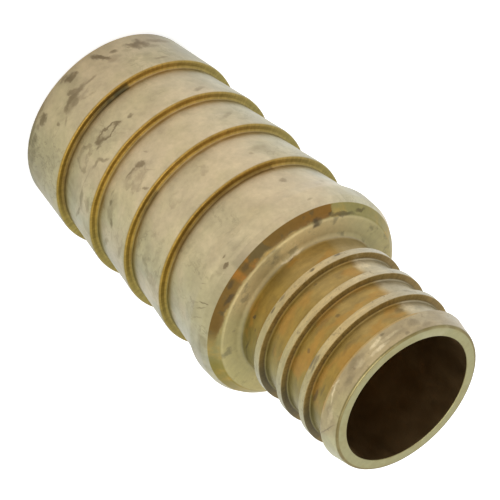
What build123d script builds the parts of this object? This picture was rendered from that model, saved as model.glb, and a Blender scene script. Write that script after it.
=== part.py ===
"""Turned brass adapter: a crimp spigot for plastic tube on one end, a barbed spigot for larger pipe on the other.

The fitting is one piece turned from bar. It stands on its barbed end: +Z runs along the bore, from the
barbed end up to the crimp end, and the origin is the centre of the barbed end's face. Millimetres.
"""
import math
import os

from build123d import *

# ---------------------------------------------------------------- driving sizes
overall_length = 62.3        # barbed end face to crimp end face

# waterway: the wide bore of the barbed end steps down to the crimp end's bore
wide_bore_radius = 11.0
crimp_bore_radius = 8.95
bore_step_top = 40.2         # where the narrow bore begins
bore_step_angle = 59.0       # half of the drill point's 118 degrees
wide_bore_chamfer = 0.4
crimp_bore_chamfer = 0.06

# barbed spigot: saw-tooth rings whose steep walls face the collar
barb_count = 4
barb_pitch = 7.66
first_barb_top = 8.30        # height of the first barb's steep wall
barb_crest_radius = 14.06
barb_crest_land = 0.15       # narrow flat left on each crest
barb_crest_fillet = 0.30     # rounds the crest over into the steep wall
barb_root_radius = 13.02
lead_in_radius = 13.19       # first ramp at the end face
barb_root_fillet = 0.34
end_edge_fillet = 0.10

# collar between the two spigots
collar_radius = 14.51
flare_start_radius = 13.75   # the last ramp ends and the flare begins
flare_start = 36.3
flare_top = 38.5
collar_top = 40.58           # the cylinder ends and its edge begins to turn in
collar_lip_radius = 14.05    # crease between the turned-in edge and the bevel
collar_lip = 41.46
shoulder_height = 42.74      # flat shoulder that stops the tube
shoulder_radius = collar_lip_radius - (shoulder_height - collar_lip)   # 45 degree bevel
neck_fillet = 0.75

# crimp spigot: square ribs on a plain land
land_radius = 10.02
rib_radius = 10.96
rib_width = 1.03
rib_pitch = 4.44
rib_count = 3
top_rib_face = overall_length - 5.73     # upper wall of the rib nearest the mouth
rib_root_fillet = 0.22
rib_edge_fillet = 0.10

# end rib: a wider ring at the mouth, slightly tapered to start the tube
end_rib_bottom = overall_length - 2.64
end_rib_radius = 10.95
end_rib_mouth_radius = 10.43
mouth_edge_fillet = 0.34


def half_section(corners):
    """A closed half-section from (radius, height) corners, standing in the XZ plane ready to be revolved."""
    with BuildSketch(Plane.XZ) as section:
        with BuildLine():
            Polyline(*corners, close=True)
        make_face()
    return section.sketch


def edges_at(part, radius, height, reach=0.02):
    """Round edges of the part with the given radius and height."""
    found = [
        edge for edge in part.edges().filter_by(GeomType.CIRCLE)
        if abs(edge.radius - radius) < reach and abs(edge.center(CenterOf.BOUNDING_BOX).Z - height) < reach
    ]
    return ShapeList(found)


with BuildPart() as fitting_body:
    # the blank: barb root diameter below the shoulder, crimp land above it
    Cylinder(barb_root_radius, flare_start, align=(Align.CENTER, Align.CENTER, Align.MIN))
    Cylinder(land_radius, overall_length, align=(Align.CENTER, Align.CENTER, Align.MIN))

    # collar, with its flare, turned-in edge and bevelled shoulder
    inside = land_radius - 1.0
    last_barb_top = first_barb_top + (barb_count - 1) * barb_pitch
    revolve(half_section([
        (inside, last_barb_top),
        (barb_root_radius, last_barb_top),
        (flare_start_radius, flare_start),
        (collar_radius, flare_top),
        (collar_radius, collar_top),
        (collar_lip_radius, collar_lip),
        (shoulder_radius, shoulder_height),
        (inside, shoulder_height),
    ]), axis=Axis.Z)

    # barbs: each ramp rises from the root of the barb below it to its own crest
    for number in range(barb_count):
        top = first_barb_top + number * barb_pitch
        ramp_start = top - barb_pitch if number else 0.0
        start_radius = barb_root_radius if number else lead_in_radius
        revolve(half_section([
            (inside, ramp_start),
            (start_radius, ramp_start),
            (barb_crest_radius, top - barb_crest_fillet - barb_crest_land),
            (barb_crest_radius, top),
            (inside, top),
        ]), axis=Axis.Z)

    # crimp ribs
    rib_tops = [top_rib_face - number * rib_pitch for number in range(rib_count)]
    for top in rib_tops:
        with Locations((0, 0, top)):
            Cylinder(rib_radius, rib_width, align=(Align.CENTER, Align.CENTER, Align.MAX))
    revolve(half_section([
        (inside, end_rib_bottom),
        (end_rib_radius, end_rib_bottom),
        (end_rib_mouth_radius, overall_length),
        (inside, overall_length),
    ]), axis=Axis.Z)

    # waterway, cut through in one stepped profile
    step_bottom = bore_step_top - (wide_bore_radius - crimp_bore_radius) / math.tan(math.radians(bore_step_angle))
    revolve(half_section([
        (0, 0),
        (wide_bore_radius + wide_bore_chamfer, 0),
        (wide_bore_radius, wide_bore_chamfer),
        (wide_bore_radius, step_bottom),
        (crimp_bore_radius, bore_step_top),
        (crimp_bore_radius, overall_length - crimp_bore_chamfer),
        (crimp_bore_radius + crimp_bore_chamfer, overall_length),
        (0, overall_length),
    ]), axis=Axis.Z, mode=Mode.SUBTRACT)

    # tool-nose radii at the barb roots, shoulder corner and rib roots; crests and rib edges rounded over
    for number in range(barb_count):
        top = first_barb_top + number * barb_pitch
        fillet(edges_at(fitting_body, barb_root_radius, top), barb_root_fillet)
        fillet(edges_at(fitting_body, barb_crest_radius, top), barb_crest_fillet)
    fillet(edges_at(fitting_body, land_radius, shoulder_height), neck_fillet)
    for top in rib_tops:
        fillet(edges_at(fitting_body, land_radius, top), rib_root_fillet)
        fillet(edges_at(fitting_body, land_radius, top - rib_width), rib_root_fillet)
        fillet(edges_at(fitting_body, rib_radius, top), rib_edge_fillet)
        fillet(edges_at(fitting_body, rib_radius, top - rib_width), rib_edge_fillet)
    fillet(edges_at(fitting_body, land_radius, end_rib_bottom), rib_root_fillet)
    fillet(edges_at(fitting_body, end_rib_radius, end_rib_bottom), rib_edge_fillet)

    # broken outer edges of the two end faces
    fillet(edges_at(fitting_body, end_rib_mouth_radius, overall_length), mouth_edge_fillet)
    fillet(edges_at(fitting_body, lead_in_radius, 0.0), end_edge_fillet)

fitting_body.part.label = "fitting_body"

os.makedirs("parts", exist_ok=True)
export_step(fitting_body.part, "parts/fitting_body.step")
print(f"fitting_body: {fitting_body.part.volume:.1f} mm3, solids {len(fitting_body.part.solids())}, "
      f"valid {fitting_body.part.is_valid}")
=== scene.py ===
"""Looks of the turned brass pipe adapter: its lathe-cut body, aged brass finish, floor, light and camera.

The body stands on its barbed end, +Z along the bore. Sizes are in millimetres and become metres where a
mesh or a material takes them. Angles round the bore run from +X towards -Y, so 90 degrees faces the camera.
"""

import logging
import math
from dataclasses import dataclass
from enum import Enum
from typing import Optional, Sequence, Union

import bpy
from mathutils import Matrix, Vector


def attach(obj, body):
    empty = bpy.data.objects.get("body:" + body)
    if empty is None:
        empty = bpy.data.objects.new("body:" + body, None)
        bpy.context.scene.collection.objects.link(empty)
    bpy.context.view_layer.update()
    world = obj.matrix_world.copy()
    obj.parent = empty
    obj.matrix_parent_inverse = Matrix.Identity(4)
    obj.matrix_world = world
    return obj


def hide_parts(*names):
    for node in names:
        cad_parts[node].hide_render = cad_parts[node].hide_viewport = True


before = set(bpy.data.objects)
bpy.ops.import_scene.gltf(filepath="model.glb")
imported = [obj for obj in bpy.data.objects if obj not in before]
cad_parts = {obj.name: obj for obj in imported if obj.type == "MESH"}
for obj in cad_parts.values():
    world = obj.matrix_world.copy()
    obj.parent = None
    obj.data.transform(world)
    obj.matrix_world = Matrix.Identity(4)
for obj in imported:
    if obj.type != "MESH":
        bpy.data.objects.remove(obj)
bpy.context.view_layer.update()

MM = 0.001
WELD = 0.004 * MM
log = logging.getLogger("adapter")


# ------------------------------------------------------------------ node trees
class Wire:
    """One output of a node; arithmetic on it adds Math nodes to its tree."""

    def __init__(self, graph: "Graph", socket: bpy.types.NodeSocket) -> None:
        """Keeps the graph and the socket."""
        self.graph = graph
        self.socket = socket

    def __add__(self, other: "Term") -> "Wire":
        """Sum."""
        return self.graph.math("ADD", self, other)

    def __radd__(self, other: "Term") -> "Wire":
        """Sum, the other way round."""
        return self.graph.math("ADD", other, self)

    def __sub__(self, other: "Term") -> "Wire":
        """Difference."""
        return self.graph.math("SUBTRACT", self, other)

    def __rsub__(self, other: "Term") -> "Wire":
        """Difference, the other way round."""
        return self.graph.math("SUBTRACT", other, self)

    def __mul__(self, other: "Term") -> "Wire":
        """Product."""
        return self.graph.math("MULTIPLY", self, other)

    def __rmul__(self, other: "Term") -> "Wire":
        """Product, the other way round."""
        return self.graph.math("MULTIPLY", other, self)

    def __truediv__(self, other: "Term") -> "Wire":
        """Quotient."""
        return self.graph.math("DIVIDE", self, other)

    def rise(self, low: float, high: float) -> "Wire":
        """Makes a smooth step from 0 at low to 1 at high.

        Args:
            low: value below which it is 0; it may be the larger of the two, for a fall.
            high: value above which it is 1.

        Returns:
            The step.
        """
        if low > high:
            return 1.0 - self.graph.step(self, high, low)
        return self.graph.step(self, low, high)

    def band(self, low: float, high: float, soft: float) -> "Wire":
        """1 between low and high, with soft edges centred on them."""
        return self.rise(low - soft / 2, low + soft / 2) * self.rise(high + soft / 2, high - soft / 2)

    def at_least(self, other: "Term") -> "Wire":
        """Larger of the two."""
        return self.graph.math("MAXIMUM", self, other)

    def size(self) -> "Wire":
        """Absolute value."""
        return self.graph.math("ABSOLUTE", self)


Term = Union[Wire, float, int]
Colour = tuple[float, float, float, float]


class Graph:
    """A node tree with short calls for the nodes that this script places."""

    def __init__(self, tree: bpy.types.NodeTree) -> None:
        """Takes an empty tree."""
        self.tree = tree

    def node(self, kind: str, **settings: object) -> bpy.types.Node:
        """Adds a node.

        Args:
            kind: Blender's type name of the node.
            settings: properties set on it.

        Returns:
            The new node.
        """
        made = self.tree.nodes.new(kind)
        for name, value in settings.items():
            setattr(made, name, value)
        return made

    def feed(self, socket: bpy.types.NodeSocket, value: object) -> None:
        """Links a wire to an input, or sets a plain value on it.

        Args:
            socket: the input.
            value: a wire, or the value itself.
        """
        if isinstance(value, Wire):
            self.tree.links.new(value.socket, socket)
        else:
            socket.default_value = value

    def place(self, kind: str, inputs: dict[Union[str, int], object], output: Union[str, int] = 0,
              **settings: object) -> Wire:
        """Adds a node, feeds its inputs and gives one of its outputs.

        Args:
            kind: Blender's type name of the node.
            inputs: values or wires by the input's name or number.
            output: name or number of the output.
            settings: properties set on the node.

        Returns:
            The wire of that output.
        """
        made = self.node(kind, **settings)
        for name, value in inputs.items():
            self.feed(made.inputs[name], value)
        return Wire(self, made.outputs[output])

    def math(self, operation: str, *terms: Term) -> Wire:
        """Adds a Math node."""
        return self.place("ShaderNodeMath", dict(enumerate(terms)), operation=operation)

    def step(self, value: Wire, low: Term, high: Term) -> Wire:
        """Adds a smooth step of a value from 0 at low to 1 at high.

        It never leaves 0 to 1, so its clamp stays off. Clamping every step would cost Cycles a further node
        each, more than a shader with this many marks can hold.

        Args:
            value: the value to step.
            low: where the step starts.
            high: where it ends.

        Returns:
            The step.
        """
        return self.place("ShaderNodeMapRange", {0: value, 1: low, 2: high, 3: 0.0, 4: 1.0},
                          interpolation_type="SMOOTHSTEP", clamp=False)

    def blend(self, share: Term, first: Union[Wire, Colour], second: Union[Wire, Colour]) -> Wire:
        """Mixes two colours.

        Args:
            share: how much of the second colour shows, from 0 to 1.
            first: one colour.
            second: the other.

        Returns:
            The mixed colour.
        """
        made = self.node("ShaderNodeMix", data_type="RGBA", clamp_factor=True)
        self.feed(made.inputs[0], share)
        self.feed(made.inputs[6], first)
        self.feed(made.inputs[7], second)
        return Wire(self, made.outputs[2])

    def shade(self, colour: Wire, factor: Wire) -> Wire:
        """Multiplies a colour by a value.

        Args:
            colour: the colour.
            factor: the value, 1 to leave it as it is.

        Returns:
            The darker or lighter colour.
        """
        grey = self.place("ShaderNodeCombineColor", {0: factor, 1: factor, 2: factor})
        made = self.node("ShaderNodeMix", data_type="RGBA", blend_type="MULTIPLY")
        made.inputs[0].default_value = 1.0
        self.feed(made.inputs[6], colour)
        self.feed(made.inputs[7], grey)
        return Wire(self, made.outputs[2])

    def vector(self, x: Term, y: Term, z: Term) -> Wire:
        """Adds a Combine XYZ node."""
        return self.place("ShaderNodeCombineXYZ", {0: x, 1: y, 2: z})

    def parts(self, vector: Wire) -> tuple[Wire, Wire, Wire]:
        """Splits a vector.

        Args:
            vector: the vector.

        Returns:
            Its X, Y and Z.
        """
        made = self.node("ShaderNodeSeparateXYZ")
        self.feed(made.inputs[0], vector)
        return Wire(self, made.outputs[0]), Wire(self, made.outputs[1]), Wire(self, made.outputs[2])

    def noise(self, vector: Wire, scale: float, detail: float, roughness: float = 0.5,
              distortion: float = 0.0) -> Wire:
        """Adds a noise texture.

        Args:
            vector: where it is read.
            scale: how many of its waves go into one unit of the vector.
            detail: how many finer noises are added on it.
            roughness: how strong the finer ones are.
            distortion: how far it is swirled.

        Returns:
            Its value, about 0.5 in the mean.
        """
        return self.place("ShaderNodeTexNoise", {"Vector": vector, "Scale": scale, "Detail": detail,
                                                 "Roughness": roughness, "Distortion": distortion},
                          noise_dimensions="3D")

    def group(self, group: bpy.types.NodeTree, inputs: dict[str, object]) -> Wire:
        """Places a shader node group.

        Args:
            group: the group.
            inputs: values or wires by the input's name.

        Returns:
            The wire of its first output.
        """
        return self.place("ShaderNodeGroup", inputs, node_tree=group)


def new_group(name: str, kind: str, inputs: dict[str, tuple[str, object]], outputs: dict[str, str]
              ) -> tuple[Graph, dict[str, Wire], bpy.types.Node]:
    """Makes an empty node group with its interface.

    Args:
        name: the group's name.
        kind: Blender's type name of the tree.
        inputs: socket type and default value by name.
        outputs: socket type by name.

    Returns:
        The graph, the input wires by name, and the group's output node.
    """
    tree = bpy.data.node_groups.new(name, kind)
    for label, (socket_type, default) in inputs.items():
        socket = tree.interface.new_socket(label, in_out="INPUT", socket_type=socket_type)
        if default is not None:
            socket.default_value = default
    for label, socket_type in outputs.items():
        tree.interface.new_socket(label, in_out="OUTPUT", socket_type=socket_type)
    graph = Graph(tree)
    source = graph.node("NodeGroupInput")
    wires = {label: Wire(graph, source.outputs[label]) for label in inputs}
    return graph, wires, graph.node("NodeGroupOutput")


def bare_graph(owner: Union[bpy.types.Material, bpy.types.World]) -> Graph:
    """Turns on the nodes of a material or a world, and clears them.

    Args:
        owner: the material or the world.

    Returns:
        Its empty graph.
    """
    owner.use_nodes = True
    owner.node_tree.nodes.clear()
    return Graph(owner.node_tree)


def into_scene(made: bpy.types.Object) -> bpy.types.Object:
    """Puts an object in the scene.

    Args:
        made: a new object.

    Returns:
        The same object.
    """
    bpy.context.scene.collection.objects.link(made)
    return made


# ------------------------------------------------------------------ the turned form
@dataclass(frozen=True)
class BodySizes:
    """Sizes of the adapter in millimetres, as the solid has them."""

    length: float = 62.3
    wide_bore: float = 11.0
    crimp_bore: float = 8.95
    bore_step_top: float = 40.2
    bore_step_bottom: float = 38.968
    wide_bore_chamfer: float = 0.4
    crimp_bore_chamfer: float = 0.06
    barb_count: int = 4
    barb_pitch: float = 7.66
    first_barb_top: float = 8.30
    barb_crest: float = 14.06
    barb_land: float = 0.45
    barb_crest_round: float = 0.30
    barb_root: float = 13.02
    barb_root_round: float = 0.34
    lead_in: float = 13.19
    end_round: float = 0.10
    edge_round: float = 0.05
    collar: float = 14.51
    flare_start_radius: float = 13.75
    flare_start: float = 36.3
    flare_start_round: float = 6.0
    flare_top: float = 38.5
    flare_top_round: float = 2.0
    collar_top: float = 40.58
    collar_top_round: float = 0.6
    lip_radius: float = 14.05
    lip: float = 41.46
    shoulder: float = 42.74
    shoulder_radius: float = 12.77
    shoulder_round: float = 0.5
    neck_round: float = 0.75
    land: float = 10.02
    rib: float = 10.96
    rib_width: float = 1.03
    rib_pitch: float = 4.44
    rib_count: int = 3
    top_rib_face: float = 56.57
    rib_root_round: float = 0.22
    rib_edge_round: float = 0.10
    end_rib: float = 10.95
    end_rib_bottom: float = 59.66
    end_rib_round: float = 0.16
    end_rib_mouth: float = 10.43
    mouth_round: float = 0.34


@dataclass(frozen=True)
class Corner:
    """A corner of the half-section: radius and height, with the radius it is rounded to."""

    radius: Term
    height: Term
    rounding: Term = 0.0


@dataclass
class TurnedBody:
    """The adapter's body, spun from a half-section by Geometry Nodes.

    Attributes:
        sizes: its sizes.
        segments: facets round the axis.
        longest_facet: length above which a straight run of the section is cut, in millimetres.
        round_steps: points on each rounded corner.
        wander: how far the outside runs in and out, in millimetres.
        nick_depth: depth of its small nicks, in millimetres.
        seed: seed of the wander and the nicks.
        name: name of the finished piece.
    """

    sizes: BodySizes
    segments: int = 252
    longest_facet: float = 1.1
    round_steps: int = 4
    wander: float = 0.05
    nick_depth: float = 0.05
    seed: int = 7
    name: str = "turned_body"

    def path(self, graph: Graph, corners: Sequence[Corner]) -> Wire:
        """A chain of edges through the given corners.

        Args:
            graph: the tree it is built in.
            corners: the corners in order.

        Returns:
            The chain as a mesh, with the attribute corner_round on its points.
        """
        line = graph.place("GeometryNodeMeshLine", {"Count": len(corners)})
        place = graph.node("GeometryNodeIndexSwitch", data_type="VECTOR")
        rounding = graph.node("GeometryNodeIndexSwitch", data_type="FLOAT")
        index = graph.place("GeometryNodeInputIndex", {})
        for switch in (place, rounding):
            while len(switch.index_switch_items) < len(corners):
                switch.index_switch_items.new()
            graph.feed(switch.inputs["Index"], index)
        for number, corner in enumerate(corners):
            graph.feed(place.inputs[str(number)], graph.vector(corner.radius, 0.0, corner.height))
            graph.feed(rounding.inputs[str(number)], corner.rounding)
        placed = graph.place("GeometryNodeSetPosition",
                             {"Geometry": line, "Position": Wire(graph, place.outputs[0])})
        return graph.place("GeometryNodeStoreNamedAttribute",
                           {"Geometry": placed, "Name": "corner_round",
                            "Value": Wire(graph, rounding.outputs[0])},
                           data_type="FLOAT", domain="POINT")

    def repeat(self, graph: Graph, section: Wire, count: Term, pitch: Term, start: Term) -> Wire:
        """Copies a section up the axis.

        Args:
            graph: the tree it is built in.
            section: the section to copy.
            count: how many copies.
            pitch: step from one to the next.
            start: height of the first.

        Returns:
            The copies as one mesh.
        """
        line = graph.place("GeometryNodeMeshLine",
                           {"Count": count, "Start Location": graph.vector(0.0, 0.0, start),
                            "Offset": graph.vector(0.0, 0.0, pitch)})
        copies = graph.place("GeometryNodeInstanceOnPoints", {"Points": line, "Instance": section})
        return graph.place("GeometryNodeRealizeInstances", {"Geometry": copies})

    def rib_corners(self, size: dict[str, Wire], base: Term) -> list[Corner]:
        """Lists the corners of one square rib.

        Args:
            size: the tree's inputs by name.
            base: height of its lower wall.

        Returns:
            Its four corners, from the foot of the lower wall up.
        """
        top = base + size["Rib Width"]
        root, edge = size["Rib Root Round"], size["Rib Edge Round"]
        return [Corner(size["Land Radius"], base, root), Corner(size["Rib Radius"], base, edge),
                Corner(size["Rib Radius"], top, edge), Corner(size["Land Radius"], top, root)]

    def half_section(self, graph: Graph, size: dict[str, Wire]) -> Wire:
        """Draws the closed half-section as one rounded curve.

        Args:
            graph: the tree it is built in.
            size: the tree's inputs by name.

        Returns:
            The curve, in the plane of radius and height.
        """
        s = self.sizes
        crest, root, land = size["Barb Crest Radius"], size["Barb Root Radius"], size["Barb Crest Land"]
        edge, root_round, pitch = size["Edge Round"], size["Barb Root Round"], size["Barb Pitch"]
        crest_round = size["Barb Crest Round"]
        first_top, length = size["First Barb Height"], size["Length"]
        shoulder, collar = size["Shoulder Height"], size["Collar Radius"]
        spigot, rib_root_round, rib_pitch = size["Land Radius"], size["Rib Root Round"], size["Rib Pitch"]
        last_top = first_top + pitch * (size["Barb Count"] - 1.0)
        lowest_rib = size["Top Rib Height"] - rib_pitch * (size["Rib Count"] - 1.0) - size["Rib Width"]
        top_rib = size["Top Rib Height"] - size["Rib Width"]

        foot = self.path(graph, [
            Corner((s.wide_bore + s.wide_bore_chamfer) * MM, 0.0, edge),
            Corner(s.lead_in * MM, 0.0, s.end_round * MM),
            Corner(crest, first_top - land, edge),
            Corner(crest, first_top, crest_round),
            Corner(root, first_top, root_round),
        ])
        barb = self.path(graph, [
            Corner(root, 0.0, root_round),
            Corner(crest, pitch - land, edge),
            Corner(crest, pitch, crest_round),
            Corner(root, pitch, root_round),
        ])
        barbs = self.repeat(graph, barb, size["Barb Count"] - 1.0, pitch, first_top)
        neck = self.path(graph, [
            Corner(root, last_top, root_round),
            Corner(s.flare_start_radius * MM, s.flare_start * MM, s.flare_start_round * MM),
            Corner(collar, s.flare_top * MM, s.flare_top_round * MM),
            Corner(collar, s.collar_top * MM, s.collar_top_round * MM),
            Corner(s.lip_radius * MM, s.lip * MM, edge),
            Corner(s.shoulder_radius * MM, shoulder, s.shoulder_round * MM),
            Corner(spigot, shoulder, size["Neck Round"]),
            Corner(spigot, lowest_rib, rib_root_round),
        ])
        rib = self.path(graph, [*self.rib_corners(size, 0.0), Corner(spigot, rib_pitch, rib_root_round)])
        ribs = self.repeat(graph, rib, size["Rib Count"] - 1.0, rib_pitch, lowest_rib)
        mouth = self.path(graph, [
            *self.rib_corners(size, top_rib),
            Corner(spigot, s.end_rib_bottom * MM, rib_root_round),
            Corner(s.end_rib * MM, s.end_rib_bottom * MM, s.end_rib_round * MM),
            Corner(s.end_rib_mouth * MM, length, s.mouth_round * MM),
            Corner((s.crimp_bore + s.crimp_bore_chamfer) * MM, length, edge),
            Corner(s.crimp_bore * MM, length - s.crimp_bore_chamfer * MM, edge),
            Corner(s.crimp_bore * MM, s.bore_step_top * MM, edge),
            Corner(s.wide_bore * MM, s.bore_step_bottom * MM, edge),
            Corner(s.wide_bore * MM, s.wide_bore_chamfer * MM, edge),
            Corner((s.wide_bore + s.wide_bore_chamfer) * MM, 0.0, edge),
        ])
        joined = graph.node("GeometryNodeJoinGeometry")
        for piece in (mouth, ribs, neck, barbs, foot):
            graph.feed(joined.inputs[0], piece)
        loop = graph.place("GeometryNodeMergeByDistance",
                           {"Geometry": Wire(graph, joined.outputs[0]), "Distance": WELD})
        curve = graph.place("GeometryNodeMeshToCurve", {"Mesh": loop})
        radius = graph.place("GeometryNodeInputNamedAttribute", {"Name": "corner_round"}, data_type="FLOAT")
        rounded = graph.place("GeometryNodeFilletCurve",
                              {"Curve": curve, "Count": self.round_steps, "Radius": radius,
                               "Limit Radius": True},
                              mode="POLY")
        return self.split_long_edges(graph, rounded)

    def split_long_edges(self, graph: Graph, curve: Wire) -> Wire:
        """Cuts the long straight runs of the section.

        Args:
            graph: the tree it is built in.
            curve: the rounded half-section.

        Returns:
            The curve with about the longest facet allowed, or less, from point to point.
        """
        here = graph.place("GeometryNodeInputPosition", {})
        following = graph.place("GeometryNodeOffsetPointInCurve", {"Offset": 1}, output="Point Index")
        there = graph.place("GeometryNodeFieldAtIndex", {"Index": following, "Value": here},
                            data_type="FLOAT_VECTOR", domain="POINT")
        run = graph.place("ShaderNodeVectorMath", {0: here, 1: there}, output="Value", operation="DISTANCE")
        cuts = graph.math("FLOOR", run / (self.longest_facet * MM))
        return graph.place("GeometryNodeSubdivideCurve", {"Curve": curve, "Cuts": cuts})

    def lathe(self, graph: Graph, curve: Wire, size: dict[str, Wire]) -> Wire:
        """Spins the half-section round the axis.

        Args:
            graph: the tree it is built in.
            curve: the closed half-section.
            size: the tree's inputs by name.

        Returns:
            The closed skin as a mesh, slightly marked at its outer edges.
        """
        count = graph.place("GeometryNodeAttributeDomainSize", {"Geometry": curve}, output="Point Count",
                            component="CURVE")
        rows = count + 1.0
        grid = graph.place("GeometryNodeMeshGrid", {"Size X": 1.0, "Size Y": 1.0,
                                                    "Vertices X": size["Segments"] + 1.0, "Vertices Y": rows})
        index = graph.place("GeometryNodeInputIndex", {})
        row = graph.math("MODULO", graph.math("MODULO", index, rows), count)
        column = graph.math("FLOOR", (index + 0.5) / rows)
        here = graph.place("GeometryNodeInputPosition", {})
        section = graph.place("GeometryNodeSampleIndex", {"Geometry": curve, "Value": here, "Index": row},
                              data_type="FLOAT_VECTOR", domain="POINT")
        radius, _, height = graph.parts(section)
        turn = graph.math("MODULO", column, size["Segments"]) / size["Segments"] * math.tau
        x, y = graph.math("COSINE", turn), graph.math("SINE", turn)
        wander = graph.noise(graph.vector(x * 3.0, y * 3.0, height / MM * 0.9 + size["Seed"]), 1.0,
                             detail=3.0)
        nick = graph.noise(graph.vector(x * 16.0, y * 16.0, height / MM * 2.0 + size["Seed"]), 1.0,
                           detail=2.0)
        dent = nick.rise(0.66, 0.84) * size["Nick Depth"]
        low = (wander - 0.72) * size["Wander"] - dent
        shift = graph.math("MINIMUM", low, 0.0) * radius.rise(9.6 * MM, 10.2 * MM)
        spun = graph.vector((radius + shift) * x, (radius + shift) * y, height)
        skin = graph.place("GeometryNodeSetPosition", {"Geometry": grid, "Position": spun})
        return graph.place("GeometryNodeMergeByDistance", {"Geometry": skin, "Distance": 0.001 * MM})

    def tree(self) -> bpy.types.NodeTree:
        """Builds the Geometry Nodes tree of the body.

        Returns:
            The tree, which takes its sizes, its seed and its material as inputs.
        """
        real, whole = "NodeSocketFloat", "NodeSocketInt"
        inputs = {name: (real, 0.0) for name in self.lengths()}
        inputs.update({name: (whole, 0) for name in self.counts()})
        inputs["Finish"] = ("NodeSocketMaterial", None)
        graph, size, end = new_group("turned body", "GeometryNodeTree", inputs,
                                     {"Body": "NodeSocketGeometry"})
        skin = self.lathe(graph, self.half_section(graph, size), size)
        real_skin = graph.place("GeometryNodeRealizeInstances", {"Geometry": skin})
        dressed = graph.place("GeometryNodeSetMaterial", {"Geometry": real_skin, "Material": size["Finish"]})
        graph.feed(end.inputs["Body"], dressed)
        return graph.tree

    def lengths(self) -> dict[str, float]:
        """Lists the tree's length inputs.

        Returns:
            The lengths by name, in metres.
        """
        s = self.sizes
        in_mm = {
            "Length": s.length, "Barb Pitch": s.barb_pitch, "First Barb Height": s.first_barb_top,
            "Barb Crest Radius": s.barb_crest, "Barb Crest Land": s.barb_land,
            "Barb Root Radius": s.barb_root, "Barb Crest Round": s.barb_crest_round,
            "Barb Root Round": s.barb_root_round, "Collar Radius": s.collar, "Shoulder Height": s.shoulder,
            "Neck Round": s.neck_round, "Land Radius": s.land, "Rib Radius": s.rib, "Rib Width": s.rib_width,
            "Rib Pitch": s.rib_pitch, "Top Rib Height": s.top_rib_face, "Rib Root Round": s.rib_root_round,
            "Rib Edge Round": s.rib_edge_round, "Edge Round": s.edge_round, "Wander": self.wander,
            "Nick Depth": self.nick_depth,
        }
        return {name: value * MM for name, value in in_mm.items()}

    def counts(self) -> dict[str, int]:
        """Lists the tree's whole-number inputs."""
        return {"Barb Count": self.sizes.barb_count, "Rib Count": self.sizes.rib_count,
                "Segments": self.segments, "Seed": self.seed}

    def build(self, finish: bpy.types.Material) -> bpy.types.Object:
        """Makes the body as a plain mesh object.

        Args:
            finish: the material it wears.

        Returns:
            The finished piece, at the origin.
        """
        host = into_scene(bpy.data.objects.new("body_host", bpy.data.meshes.new("body_host")))
        modifier = host.modifiers.new("turned body", "NODES")
        modifier.node_group = self.tree()
        values: dict[str, object] = {**self.lengths(), **self.counts(), "Finish": finish}
        for item in modifier.node_group.interface.items_tree:
            if item.item_type == "SOCKET" and item.in_out == "INPUT":
                modifier[item.identifier] = values[item.name]
        host.update_tag()
        depsgraph = bpy.context.evaluated_depsgraph_get()
        mesh = bpy.data.meshes.new_from_object(host.evaluated_get(depsgraph), depsgraph=depsgraph)
        host.modifiers.remove(modifier)
        bpy.data.objects.remove(host)
        mesh.name = self.name
        self.face_outwards(mesh)
        return into_scene(bpy.data.objects.new(self.name, mesh))

    def face_outwards(self, mesh: bpy.types.Mesh) -> None:
        """Turns the faces out and shades them smooth with area-weighted normals.

        Args:
            mesh: the closed skin.
        """
        volume = 0.0
        for polygon in mesh.polygons:
            volume += polygon.center.dot(polygon.normal) * polygon.area
        if volume < 0:
            mesh.flip_normals()
        mesh.polygons.foreach_set("use_smooth", [True] * len(mesh.polygons))
        normals = [Vector() for _ in mesh.vertices]
        for polygon in mesh.polygons:
            weighted = polygon.normal * polygon.area
            for number in polygon.vertices:
                normals[number] += weighted
        mesh.normals_split_custom_set_from_vertices([normal.normalized() for normal in normals])


# ------------------------------------------------------------------ finish
def tone(red: int, green: int, blue: int) -> Colour:
    """Turns a display colour into the linear colour that a shader takes.

    Args:
        red: from 0 to 255.
        green: from 0 to 255.
        blue: from 0 to 255.

    Returns:
        The linear colour.
    """
    def linear(value: int) -> float:
        """Turns one channel."""
        share = value / 255.0
        return share / 12.92 if share <= 0.04045 else ((share + 0.055) / 1.055) ** 2.4
    return linear(red), linear(green), linear(blue), 1.0


class ToneRing:
    """Colours round the axis, eased from stop to stop."""

    def __init__(self, *stops: tuple[int, int, int, int]) -> None:
        """Takes stops of an angle in degrees, from -180 to 180, and a display colour."""
        self.stops = stops

    def wire(self, graph: Graph, angle: Wire) -> Wire:
        """Places the ring as a colour ramp.

        Args:
            graph: the material's graph.
            angle: the angle round the axis in degrees.

        Returns:
            The colour at that angle.
        """
        made = graph.node("ShaderNodeValToRGB")
        ramp = made.color_ramp
        ramp.interpolation = "LINEAR"
        while len(ramp.elements) < len(self.stops):
            ramp.elements.new(0.5)
        for element, (degrees, *display) in zip(ramp.elements, self.stops):
            element.position = (degrees + 180.0) / 360.0
            element.color = tone(*display)
        graph.feed(made.inputs[0], (angle + 180.0) / 360.0)
        return Wire(graph, made.outputs[0])


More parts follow.
